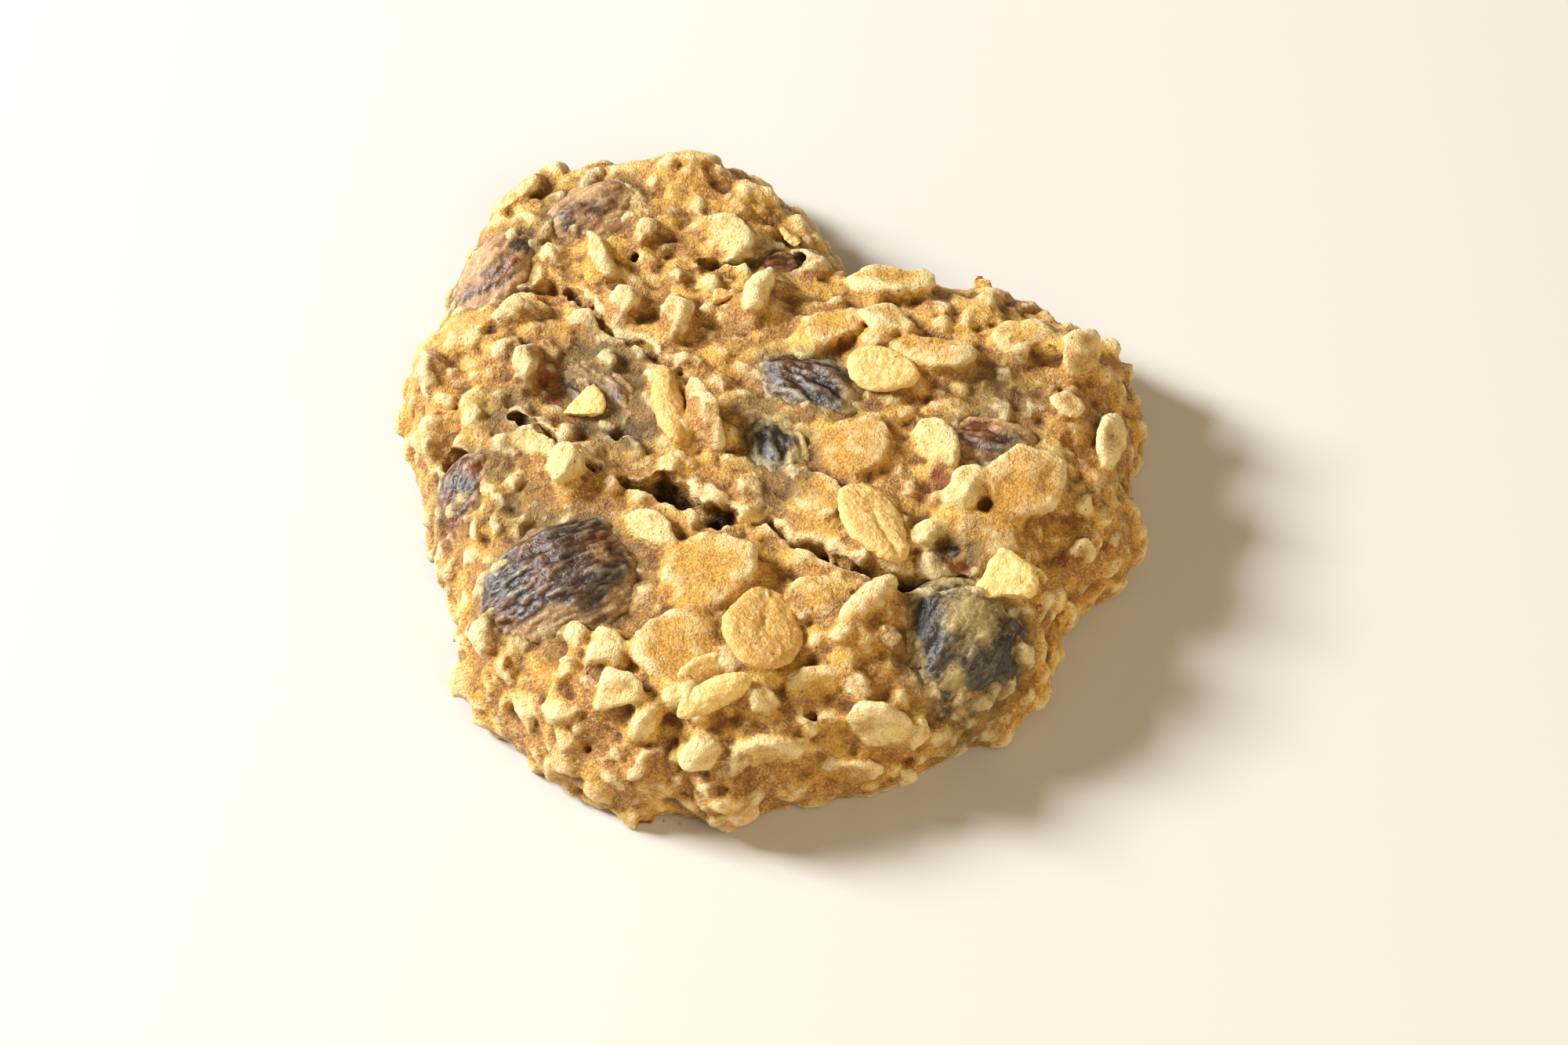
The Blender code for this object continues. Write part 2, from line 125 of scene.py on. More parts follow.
# Coated only thinly, so that they stay pale.
BRIGHT_OATS = (
    ("plain", 15.6, -3.0, 6.8, 4.2, -62, 6, 0, 0.2),
    ("knob", 14.7, -13.5, 3.8, 3.4, 20, 0, 0, 0.6),
    ("knob", 18.1, -8.9, 4.8, 4.4, 40, 0, 0, 0.4),
    ("plain", 32.4, -0.6, 6.0, 4.4, 80, 30, 0, 0.3),
    ("broken", -16.0, 7.2, 4.0, 3.0, 70, 0, 0, 0.8),
    ("plain", -22.6, -2.4, 5.0, 3.6, -50, 8, 0, 0.4),
    ("knob", -19.7, -5.7, 4.6, 3.8, 60, 0, 0, 0.5),
    ("plain", -11.4, -13.4, 5.6, 3.6, -40, 8, 0, 0.4),
    ("broken", -16.1, -26.7, 5.8, 4.8, 10, 0, 10, 0.5),
    ("broken", -15.2, -31.0, 7.6, 5.0, -4, 14, 0, 0.4),
    ("knob", -6.6, -35.6, 4.4, 3.8, 20, 0, 0, 0.2),
    ("plain", -0.6, -35.0, 8.0, 4.0, 4, 30, 0, 0.3),
    ("plain", 9.7, -32.8, 6.4, 4.8, -20, 18, 0, 0.3),
    ("broken", -23.0, -29.5, 5.0, 4.4, 30, 0, 0, 0.3),
    ("plain", -4.3, 24.8, 5.6, 4.0, -50, 8, 0, 0.3),
    ("curl", -1.8, 15.4, 6.0, 2.8, 70, 0, 0, 0.6),
)
# Cracks, and the seam between the two patties: places (x, y) and half the width at each, then the depth.
CRACKS = {
    "main": (
        ((-26.1, 1.9, 0.15), (-21.5, -1.8, 0.25), (-18.5, -4.6, 0.5), (-15.5, -6.4, 0.25), (-13.2, -7.4, 0.3),
         (-11.4, -8.0, 1.0), (-9.6, -8.4, 1.3), (-8.0, -9.8, 1.0), (-5.8, -11.4, 1.0), (-4.4, -11.4, 0.7),
         (-3.2, -12.2, 0.3), (-0.6, -12.0, 0.3), (1.8, -13.8, 0.5), (4.0, -14.6, 0.8), (6.4, -16.4, 0.4),
         (9.0, -17.2, 0.5), (10.8, -18.8, 1.0), (13.0, -18.6, 1.0), (15.4, -19.2, 0.5), (17.2, -18.4, 0.7),
         (19.6, -18.8, 0.2)), 5.0),
    "upper": (
        ((-19.6, 17.6, 0.6), (-18.2, 15.4, 0.5), (-17.0, 13.0, 0.25), (-15.6, 10.8, 0.5), (-13.0, 10.2, 0.5),
         (-11.0, 7.8, 0.25), (-8.6, 5.2, 0.25)), 2.6),
    "seam_left": (((-33.5, 17.2, 0.8), (-30.0, 18.6, 0.3), (-26.6, 17.2, 0.3), (-23.4, 18.8, 0.6),
                   (-20.4, 18.2, 0.4)), 1.6),
    "seam_right": (((-10.0, 19.6, 0.3), (-6.4, 21.6, 0.5), (-3.4, 20.8, 0.6), (0.6, 22.6, 1.0), (4.4, 22.2, 1.4),
                    (8.0, 23.4, 2.0)), 2.2),
}
# Air holes: place (x, y), width, depth.
PORES = (
    (-24.2, -10.4, 1.0, 2.0), (3.5, -32.4, 1.5, 2.0), (-17.0, -34.0, 1.2, 1.6), (-20.4, -23.8, 1.3, 1.6),
    (-4.8, -29.8, 1.1, 1.6), (13.2, -26.8, 1.1, 1.6), (-13.8, 22.0, 1.2, 1.8), (3.2, -23.4, 1.1, 1.6),
)
# Places where the skin of dough over a raisin is torn away: place (x, y), width, depth.
BARE_SPOTS = (
    (-14.6, -1.8, 2.4, 0.8), (-30.6, -2.6, 3.4, 1.6), (0.6, 22.6, 3.4, 1.8), (20.0, -3.0, 4.6, 1.4),
    (23.6, -4.4, 3.0, 1.4), (-1.4, -1.0, 2.6, 1.0), (0.4, -4.4, 3.0, 1.4),
)
# node: the way its wrinkles run, how far it stands out past its solid, its share of dough film, its redness.
RAISIN_LOOKS = {
    "raisin_front_left": (25, 0.7, 0.15, 0.6, 0.8), "raisin_front_right": (60, 0.4, 0.2, 0.0, 0.45),
    "raisin_centre": (-30, 0.9, 0.0, 0.3, 1.0), "raisin_centre_low": (-70, 0.7, 0.0, 0.0, 0.7),
    "raisin_right": (-15, 0.9, 0.3, 0.8, 0.7), "raisin_lobe_inner": (34, 0.7, 0.9, 0.9, 0.6),
    "raisin_lobe_outer": (56, 0.7, 0.9, 1.0, 0.6), "raisin_left_rim": (66, 0.4, 0.2, 1.0, 0.7),
    "raisin_upper_left": (-50, 0.1, 0.5, 0.5, 0.8), "raisin_right_small": (20, 0.3, 0.3, 0.4, 0.7),
    "raisin_notch": (10, 0.1, 0.4, 0.8, 0.7),
}
# Patches of dough film left on the raisins: place (x, y) and reach.
FILM_PATCHES = (
    (-20.5, -24.4, 3.2), (-13.4, -20.6, 2.6), (-16.2, -16.6, 1.2), (-25.8, -12.6, 1.6), (18.6, -22.6, 4.2),
    (16.8, -28.4, 1.8), (3.6, -1.6, 2.8), (3.2, -4.4, 2.0), (22.8, -0.2, 2.6), (18.0, -4.4, 2.0),
    (-29.8, 22.2, 4.0), (-27.0, 25.4, 3.0), (-18.6, 30.6, 3.0), (-22.4, 26.2, 2.6), (7.6, 2.2, 1.6),
    (-17.0, 6.6, 4.0),
)
SEED = 11
# How many bits are scattered, their smallest and largest size, how many of them stay pale, where, and their kinds.
SCATTER = (
    (80, 2.0, 3.8, 0.75, "lobe", ("knob", "curl", "knob", "broken")),
    (160, 2.0, 3.6, 0.7, "rough", ("knob", "curl", "knob", "broken")),
    (400, 2.4, 4.4, 0.7, "all", ("knob", "broken", "plain", "broken", "plain")),
    (620, 1.3, 2.4, 0.35, "all", ("knob", "knob", "broken")),
    (900, 0.7, 1.3, 0.3, "all", ("knob",)),
)
# The first rows are ragged outlines, the rest mere crumbs.
RAGGED_ROWS = 3
LIP_CRUMBS = 260
# Size and depth of the unevenness of a clean oat's face.
OAT_FACES = ((1.8, 0.26), (0.8, 0.1), (0.45, 0.06))


# ---------------------------------------------------------------- working with Blender's tools

def select_only(*things):
    bpy.ops.object.select_all(action="DESELECT")
    for thing in things:
        thing.select_set(True)
    bpy.context.view_layer.objects.active = things[0]


def finish_with(thing, kind, **settings):
    """Adds one modifier, sets it and applies it."""
    select_only(thing)
    modifier = thing.modifiers.new(kind.lower(), kind)
    for name, value in settings.items():
        setattr(modifier, name, value)
    bpy.ops.object.modifier_apply(modifier=modifier.name)


def edit(thing, choose, operator, **settings):
    """Runs one edit-mode operator on the vertices that a test of their place picks."""
    select_only(thing)
    bpy.ops.object.mode_set(mode="EDIT")
    bpy.ops.mesh.select_mode(type="VERT")
    mesh = bmesh.from_edit_mesh(thing.data)
    for vertex in mesh.verts:
        vertex.select = choose(vertex.co)
    mesh.select_flush_mode()
    bmesh.update_edit_mesh(thing.data)
    operator(**settings)
    bpy.ops.object.mode_set(mode="OBJECT")


def everywhere(_):
    return True


def cloud(name, size, depth=2, basis="BLENDER_ORIGINAL"):
    """A noise for the Displace modifier, with grains of so many millimetres."""
    texture = bpy.data.textures.new(name, "CLOUDS")
    texture.noise_scale = size * MM
    texture.noise_depth = depth
    texture.noise_basis = basis
    return texture


def join(things, name):
    select_only(*things)
    bpy.ops.object.join()
    joined = bpy.context.view_layer.objects.active
    joined.name = joined.data.name = name
    return joined


def discard(*things):
    for thing in things:
        bpy.data.objects.remove(thing, do_unlink=True)


def own_copy(thing, name):
    copy = thing.copy()
    copy.data = thing.data.copy()
    copy.parent = None
    copy.name = copy.data.name = name
    for key in list(copy.keys()):
        del copy[key]
    bpy.context.scene.collection.objects.link(copy)
    return copy


def merged_copy(node, name):
    """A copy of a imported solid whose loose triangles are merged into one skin."""
    copy = own_copy(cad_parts[node], name)
    copy.data.materials.clear()
    edit(copy, everywhere, bpy.ops.mesh.remove_doubles, threshold=0.00001)
    return copy


def points_of(mesh):
    co = np.empty(len(mesh.vertices) * 3)
    mesh.vertices.foreach_get("co", co)
    return co.reshape(-1, 3)


def tree_of(thing):
    return BVHTree.FromObject(thing, bpy.context.evaluated_depsgraph_get())


# ---------------------------------------------------------------- the dough under the oats

def rolled_dough():
    """The plain lump of dough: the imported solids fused, smoothed, and let down below the table for trimming."""
    parts = [merged_copy(name, "part_" + name) for name in ("dough", *RAISIN_NODES)]
    dough = parts[0]
    edit(dough, lambda co: co.z < 0.02 * MM, bpy.ops.transform.translate, value=(0, 0, -FOOT_DROP * MM))
    dough = join(parts, "rolled_dough")
    finish_with(dough, "REMESH", mode="VOXEL", voxel_size=BASE_VOXEL * MM)
    finish_with(dough, "SMOOTH", factor=0.5, iterations=8)
    return dough


# ---------------------------------------------------------------- oat shapes, one of each, a unit long

def creased_oat():
    """A whole rolled flake: an oval disc, one end blunter, with the groain's groove along it."""
    bpy.ops.mesh.primitive_uv_sphere_add(segments=36, ring_count=18, radius=0.5)
    flake = bpy.context.active_object
    edit(flake, everywhere, bpy.ops.transform.resize, value=(1, 1, 0.24))
    for side in (1, -1):
        edit(flake, lambda co: co.z * side > 0.06, bpy.ops.transform.resize, value=(1, 1, 0.4),
             center_override=(0, 0, 0.06 * side))
    edit(flake, lambda co: abs(co.y) < 0.03 and co.x > -0.12 and co.z > 0, bpy.ops.transform.translate,
         value=(0, 0, -0.018), use_proportional_edit=True, proportional_size=0.1,
         proportional_edit_falloff="SHARP")
    edit(flake, lambda co: co.x > 0.3, bpy.ops.transform.resize, value=(1, 0.8, 1),
         use_proportional_edit=True, proportional_size=0.4)
    return flake


def plain_oat():
    bpy.ops.mesh.primitive_uv_sphere_add(segments=32, ring_count=14, radius=0.5)
    flake = bpy.context.active_object
    edit(flake, everywhere, bpy.ops.transform.resize, value=(1, 1, 0.3))
    for side in (1, -1):
        edit(flake, lambda co: co.z * side > 0.08, bpy.ops.transform.resize, value=(1, 1, 0.25),
             center_override=(0, 0, 0.08 * side))
    edit(flake, lambda co: co.x > 0.3, bpy.ops.transform.resize, value=(1, 0.85, 1),
         use_proportional_edit=True, proportional_size=0.4)
    return flake


def broken_oat():
    """A flake snapped across, with two fresh edges."""
    flake = plain_oat()
    edit(flake, everywhere, bpy.ops.mesh.bisect, plane_co=(-0.12, 0, 0), plane_no=(-1, 0.3, 0.2),
         use_fill=True, clear_outer=True)
    edit(flake, everywhere, bpy.ops.mesh.bisect, plane_co=(0.1, -0.25, 0), plane_no=(0.3, -1, -0.3),
         use_fill=True, clear_outer=True)
    finish_with(flake, "REMESH", mode="VOXEL", voxel_size=0.04)
    return flake


def sliver_oat():
    """A flake seen on its edge: long, narrow and a little bowed."""
    bpy.ops.mesh.primitive_uv_sphere_add(segments=28, ring_count=12, radius=0.5)
    flake = bpy.context.active_object
    edit(flake, everywhere, bpy.ops.transform.resize, value=(1, 1, 0.24))
    finish_with(flake, "SIMPLE_DEFORM", deform_method="BEND", deform_axis="Z", angle=math.radians(24))
    return flake


def curled_oat():
    """A flake rolled over on itself."""
    bpy.ops.mesh.primitive_uv_sphere_add(segments=28, ring_count=12, radius=0.5)
    flake = bpy.context.active_object
    edit(flake, everywhere, bpy.ops.transform.resize, value=(1, 1, 0.4))
    finish_with(flake, "SIMPLE_DEFORM", deform_method="BEND", deform_axis="Z", angle=math.radians(110))
    return flake


def dough_knob():
    bpy.ops.mesh.primitive_ico_sphere_add(subdivisions=4, radius=0.5)
    knob = bpy.context.active_object
    texture = cloud("knob_lumps", 0.45 / MM)
    finish_with(knob, "DISPLACE", texture=texture, strength=0.35, mid_level=0.5)
    return knob


def crack_pit():
    bpy.ops.mesh.primitive_ico_sphere_add(subdivisions=3, radius=0.5)
    return bpy.context.active_object


OAT_MAKERS = {
    "pit": crack_pit,
    "creased": creased_oat, "plain": plain_oat, "broken": broken_oat,
    "sliver": sliver_oat, "curl": curled_oat, "knob": dough_knob,
}


def seat(place, normal, heading, roll, pitch, lift):
    """Where an oat goes: on the crust at a place, along its normal, turned and tipped."""
    upright = Vector((0, 0, 1)).rotation_difference(normal).to_matrix().to_4x4()
    turn = (
        Matrix.Rotation(math.radians(heading), 4, "Z")
        @ Matrix.Rotation(math.radians(roll), 4, "X")
        @ Matrix.Rotation(math.radians(pitch), 4, "Y")
    )
    return Matrix.Translation(place + normal * (lift * MM)) @ upright @ turn


def lay_oat(master, tone, matrix, length, width, thickness=1.0):
    """A copy of an oat shape at its place and size, carrying its own shade of colour."""
    oat = own_copy(master, "oat")
    oat.data.transform(matrix @ Matrix.Diagonal((length * MM, width * MM, length * thickness * MM, 1)))
    shade = oat.data.attributes.new("tone", "FLOAT", "FACE")
    shade.data.foreach_set("value", [tone] * len(oat.data.polygons))
    return oat


def lay_named_oats(rows, masters, ground, tones):
    """The oats whose places are known, each a shade between the two tones."""
    laid = []
    for kind, x, y, length, width, heading, roll, pitch, lift, *own_share in rows:
        place, normal, *_ = ground.ray_cast(Vector((x, y, 40)) * MM, Vector((0, 0, -1)))
        if place is None:
            place, normal, *_ = ground.find_nearest(Vector((x, y, 6)) * MM)
        share = own_share[0] if own_share else 0.5 + 0.5 * math.sin(37 * x + 17 * y)
        coated = tones[1] < 0.9
        matrix = seat(place, normal, heading, roll, pitch + coated * 14 * (share - 0.5), lift)
        tone = -1 if kind == "knob" and coated else tones[0] + (tones[1] - tones[0]) * share
        laid.append(lay_oat(masters[kind], tone, matrix, length, width))
    return laid


def over_raisin(place, margin):
    """Whether a place lies over a raisin, or over dough kept clear, seen from above."""
    for x, y, reach in CLEAR_SPOTS:
        if math.hypot(place.x - x * MM, place.y - y * MM) < (reach + margin) * MM and place.z > 6 * MM:
            return True
    for low, high in RAISIN_BOXES.values():
        centre, reach = (low + high) / 2, (high - low) / 2
        across = (place.x - centre.x) / (reach.x + margin * MM)
        along = (place.y - centre.y) / (reach.y + margin * MM)
        if across**2 + along**2 < 1 and place.z > centre.z:
            return True
    return False


RAISIN_BOXES = {name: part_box(name) for name in RAISIN_NODES}
# Plain dough stretched over a raisin, with nothing scattered on it: place (x, y) and reach.
CLEAR_SPOTS = ((-17.2, 5.2, 5.4), (-14.0, 0.6, 3.6), (20.4, -2.4, 3.4))


def ragged(things, share=1.0):
    """Oats whose outlines wander in plan while their faces stay flat."""
    for direction, size, depth in (("X", 2.8, 1.0), ("Y", 3.2, 1.0), ("X", 1.0, 0.5), ("Y", 1.1, 0.5)):
        finish_with(things, "DISPLACE", texture=cloud("outline_" + direction, size),
                    direction=direction, strength=share * depth * MM, mid_level=0.5)


def scatter_oats(masters, dough, draw):
    """Broken oats and knobs of dough all over the crust: the larger ones first, then crumbs between them."""
    mesh = dough.data
    mesh.calc_loop_triangles()
    corners = points_of(mesh)[np.array([t.vertices for t in mesh.loop_triangles])]
    cross = np.cross(corners[:, 1] - corners[:, 0], corners[:, 2] - corners[:, 0])
    area = np.linalg.norm(cross, axis=1)
    area[corners[:, :, 2].mean(1) < 0.5 * MM] = 0
    reach = np.cumsum(area / area.sum())
    named = CLEAN_OATS + COATED_OATS + BRIGHT_OATS
    flat = np.array([row[1:3] for row in named]) * MM
    flat_room = np.array([0.35 * (row[3] + row[4]) / 2 for row in named]) * MM
    passes, taken, room = [], np.zeros((0, 3)), np.zeros(0)
    for count, smallest, largest, pale, region, kinds in SCATTER:
        laid, found = [], 0
        for _ in range(count * 8):
            if found >= count:
                break
            k = min(int(np.searchsorted(reach, draw.random())), len(corners) - 1)
            place, normal = Vector(corners[k].mean(0)), Vector(cross[k]).normalized()
            lobe = place.y > 19 * MM and place.x < 8 * MM
            rough = lobe or place.x < -24 * MM or normal.z < 0.75
            if (region == "rough" and not rough) or (region == "lobe" and not lobe):
                continue
            size = draw.uniform(smallest, largest)
            own_room = (0.24 if lobe else 0.28 if rough else 0.33) * size * MM
            if over_raisin(place, -0.3 - 0.9 * (size < 2.4) - 0.5 * (size < 1.4)):
                continue
            if size > 1.0 and (np.hypot(*(flat - place[:2]).T) < flat_room + 0.5 * own_room).any():
                continue
            if len(taken) and (np.linalg.norm(taken - np.array(place), axis=1) < room + own_room).any():
                continue
            taken = np.vstack([taken, place])
            room = np.append(room, own_room)
            found += 1
            kind = draw.choice(kinds)
            lift = draw.uniform(0.0, 0.4) if rough else draw.uniform(-0.15, 0.25)
            matrix = seat(place, normal, draw.uniform(0, 360), draw.gauss(0, 9), draw.gauss(0, 9), lift * size / 3)
            tone = 0.85 * draw.random() if draw.random() < pale else -1
            laid.append(lay_oat(masters[kind], tone, matrix, size, size * draw.uniform(0.65, 0.95),
                                0.75 if kind == "knob" else 1.1))
        passes.append(laid)
    return passes


def along_crack(route, step):
    """Places along a crack's route every so many millimetres, with the half width there and the way across."""
    for (x0, y0, w0), (x1, y1, w1) in zip(route, route[1:]):
        length = math.hypot(x1 - x0, y1 - y0)
        across = Vector((y0 - y1, x1 - x0)) / length
        for k in range(max(1, round(length / step))):
            share = k / max(1, round(length / step))
            yield x0 + (x1 - x0) * share, y0 + (y1 - y0) * share, w0 + (w1 - w0) * share, across


def crumble_lips(masters, ground, draw):
    """Crumbs of dough along the lips of the cracks."""
    laid = []
    routes = [spot for name in ("main", "upper") for spot in along_crack(CRACKS[name][0], 0.5)]
    for _ in range(LIP_CRUMBS):
        x, y, half, across = draw.choice(routes)
        off = draw.choice((-1, 1)) * (half + draw.uniform(0.2, 1.4))
        place, normal, *_ = ground.ray_cast(Vector((x + across.x * off, y + across.y * off, 40)) * MM, Vector((0, 0, -1)))
        size = draw.uniform(0.6, 1.7)
        matrix = seat(place, normal, draw.uniform(0, 360), 0, 0, draw.uniform(-0.2, 0.2))
        laid.append(lay_oat(masters["knob"], -1, matrix, size, size * 0.8, 0.9))
    return laid


def crack_cutter(masters, ground, draw):
    """One rough form for all that is missing from the dough: cracks, seam and air holes."""
    bits = []
    for route, depth in CRACKS.values():
        for x, y, half, _ in along_crack(route, 0.35):
            place, *_ = ground.ray_cast(Vector((x, y, 40)) * MM, Vector((0, 0, -1)))
            if place is None:
                continue
            width = 2 * max(half, 0.4) * draw.uniform(0.65, 1.3)
            jog = Vector((draw.gauss(0, 0.22), draw.gauss(0, 0.22), 0)) * MM
            sink = depth * draw.uniform(0.75, 1.1) * min(1, half / 0.7)
            matrix = Matrix.Translation(place + jog)
            bits.append(lay_oat(masters["pit"], 0, matrix @ Matrix.Rotation(draw.uniform(0, 3), 4, "Z"), width,
                                width * draw.uniform(0.7, 1.1), 2 * sink / width))
    for x, y, width, depth in PORES + BARE_SPOTS:
        place, *_ = ground.ray_cast(Vector((x, y, 40)) * MM, Vector((0, 0, -1)))
        bits.append(lay_oat(masters["pit"], 0, Matrix.Translation(place), width, width * 0.8, 2 * depth / width))
    cutter = join(bits, "crack_cutter")
    finish_with(cutter, "REMESH", mode="VOXEL", voxel_size=0.2 * MM)
    finish_with(cutter, "DISPLACE", texture=cloud("torn_crumb", 1.1), strength=0.7 * MM, mid_level=0.5)
    return cutter


# ---------------------------------------------------------------- the crust

def bake_crust(dough, oats, cutter):
    """Dough and coated oats melted into one crumbly skin, trimmed flat at the table."""
    base_faces = len(dough.data.polygons)
    plain = dough.data.attributes.new("tone", "FLOAT", "FACE")
    plain.data.foreach_set("value", [-1.0] * base_faces)
    raw = join([dough, *oats], "crust")
    source = tree_of(raw)
    tones = np.empty(len(raw.data.polygons), np.float32)
    raw.data.attributes["tone"].data.foreach_get("value", tones)
    finish_with(raw, "REMESH", mode="VOXEL", voxel_size=CRUST_VOXEL * MM)
    finish_with(raw, "BOOLEAN", operation="DIFFERENCE", object=cutter, solver="MANIFOLD")
    edit(raw, everywhere, bpy.ops.mesh.bisect, plane_co=(0, 0, 0), plane_no=(0, 0, -1),
         use_fill=True, clear_outer=True)
    finish_with(raw, "REMESH", mode="VOXEL", voxel_size=CRUST_VOXEL * MM)
    discard(cutter)
    finish_with(raw, "SMOOTH", factor=0.5, iterations=3)
    oat, tone = np.zeros(len(raw.data.vertices)), np.full(len(raw.data.vertices), 0.5)
    for k, point in enumerate(points_of(raw.data)):
        _, _, face, _ = source.find_nearest(Vector(point))
        if tones[face] >= 0:
            oat[k], tone[k] = 1.0, tones[face]
    set_shade(raw, "oat", oat)
    set_shade(raw, "tone", tone)
    finish_with(raw, "DISPLACE", texture=cloud("dough_lumps", 4.2), strength=1.0 * MM, mid_level=0.5)
    bare_dough = raw.vertex_groups.new(name="bare_dough")
    bare_dough.add([int(k) for k in np.flatnonzero(oat == 0)], 1.0, "REPLACE")
    bare_dough.add([int(k) for k in np.flatnonzero(oat == 1)], 0.8, "REPLACE")
    finish_with(raw, "DISPLACE", texture=cloud("packed_crumbs", CRUMB_LUMPS[0], 0, "VORONOI_F1"),
                vertex_group="bare_dough", strength=-CRUMB_LUMPS[1] * MM, mid_level=0.4)
    for size, depth in CRUMB_GRAINS:
        finish_with(raw, "DISPLACE", texture=cloud("crumb_grain", size), vertex_group="bare_dough",
                    strength=depth * MM, mid_level=0.5)
    edit(raw, lambda co: co.z < 0, bpy.ops.transform.resize, value=(1, 1, 0), center_override=(0, 0, 0))
    count = sum(len(p.vertices) - 2 for p in raw.data.polygons)
    if count > CRUST_TRIANGLES:
        finish_with(raw, "DECIMATE", ratio=CRUST_TRIANGLES / count)
    select_only(raw)
    bpy.ops.object.shade_smooth()
    return raw


def set_shade(thing, name, values):
    attribute = thing.data.attributes.get(name) or thing.data.attributes.new(name, "FLOAT", "POINT")
    attribute.data.foreach_set("value", np.asarray(values, np.float32))


def get_shade(thing, name):
    values = np.empty(len(thing.data.vertices), np.float32)
    thing.data.attributes[name].data.foreach_get("value", values)
    return values


def edges_of(mesh):
    pairs = np.empty(len(mesh.edges) * 2, int)
    mesh.edges.foreach_get("vertices", pairs)
    return pairs.reshape(-1, 2)


def blurred(values, edges, rounds):
    """Values averaged with their neighbours' along the mesh."""
    values = np.asarray(values, float)
    count = np.bincount(edges.ravel(), minlength=len(values)).astype(float)
    count = count if values.ndim == 1 else count[:, None]
    for _ in range(rounds):
        total = np.zeros_like(values)
        np.add.at(total, edges[:, 0], values[edges[:, 1]])
        np.add.at(total, edges[:, 1], values[edges[:, 0]])
        values = 0.5 * values + 0.5 * total / np.maximum(count, 1)
    return values


def shade_hollows(thing, rounds, full_depth, name="hollow"):
    """Stores how far each point lies in a hollow (towards 1) or on a ridge (towards 0), for painted shade and
    highlights.
    """
    mesh = thing.data
    points = points_of(mesh)
    normals = np.array([v.normal for v in mesh.vertices])
    offset = blurred(points, edges_of(mesh), rounds) - points
    depth = (offset * normals).sum(1) / (full_depth * MM)
    set_shade(thing, name, np.clip(0.5 + 0.5 * depth, 0, 1))


def shade_depth(crust, ground):
    """Stores how deep each point lies inside a crack or hole, for painted shadow there, and what belongs to the browned
    underside.
    """
    depth, base = np.zeros(len(crust.data.vertices)), np.zeros(len(crust.data.vertices))
    for k, vertex in enumerate(crust.data.vertices):
        place, normal, _, distance = ground.find_nearest(vertex.co)
        if vertex.co.z > 1.5 * MM and (vertex.co - place).dot(normal) < 0:
            above, upward, *_ = ground.ray_cast(vertex.co, Vector((0, 0, 1)), 7 * MM)
            if above is not None and upward.z > 0.3:
                depth[k] = distance / (1.8 * MM)
        if vertex.co.z < 1.2 * MM and vertex.normal.z < 0:
            base[k] = -vertex.normal.z
    set_shade(crust, "deep", np.clip(depth, 0, 1))
    set_shade(crust, "base", base)


def shade_veil(crust):
    """Stores how thinly the dough covers a raisin: 1 where it is a mere film."""
    raisins = join([merged_copy(name, "veil_" + name) for name in RAISIN_NODES], "veil")
    tree = tree_of(raisins)
    distance = np.array([tree.find_nearest(Vector(point))[3] for point in points_of(crust.data)]) / MM
    discard(raisins)
    veil = np.clip((VEIL_ENDS - distance) / (VEIL_ENDS - VEIL_FULL), 0, 1)
    for name, start, spots in (("veil", veil, GREY_DOUGH), ("red", 0 * veil, RED_DOUGH), ("dark", 0 * veil, DARK_DOUGH)):
        for x, y, reach in spots:
            off = np.hypot(*(points_of(crust.data)[:, :2] / MM - (x, y)).T)
            start = np.maximum(start, 0.9 * np.clip(1.5 - off / reach, 0, 1))
        set_shade(crust, name, start)


VEIL_FULL, VEIL_ENDS = 0.6, 2.3
# Greyish dough stained by the raisins under it: place (x, y) and reach.
GREY_DOUGH = (
    (-17.5, 7.0, 5.0), (-13.8, -0.6, 4.0), (-25.4, 1.6, 3.4), (0.6, -7.6, 3.0), (-1.8, 1.6, 2.4), (22.0, 3.0, 4.4),
    (-24.4, -9.6, 3.0), (9.6, 4.0, 2.6), (18.6, -31.6, 3.0), (-27.0, -4.2, 2.6),
)


# Dough that a raisin shines through, reddish or nearly black: place (x, y) and reach.
RED_DOUGH = (
    (-21.4, 7.4, 0.9), (-21.8, 6.0, 1.0), (-21.7, 4.6, 1.0), (-21.2, 3.2, 0.9), (-19.6, 0.6, 0.8), (15.8, -6.4, 1.0),
    (17.6, -16.8, 1.0), (-22.6, 18.0, 1.0), (-30.6, -9.4, 1.2),
)
DARK_DOUGH = ((-15.4, -1.8, 1.5), (-13.2, -1.9, 1.5), (-11.8, -1.2, 0.9), (-18.4, -0.6, 0.8), (15.6, -16.2, 0.9))


# ---------------------------------------------------------------- raisins

RAISIN_VOXEL = 0.18
# Size and depth of a raisin's folds, wrinkles and creases.
WRINKLES = ((2.3, 1.3), (1.0, 0.75), (0.5, 0.25))
# A raisin sheds its film of dough from this far inside its socket, within this share of its width.
BARE_FROM, BARE_WITHIN = 0.5, 0.09


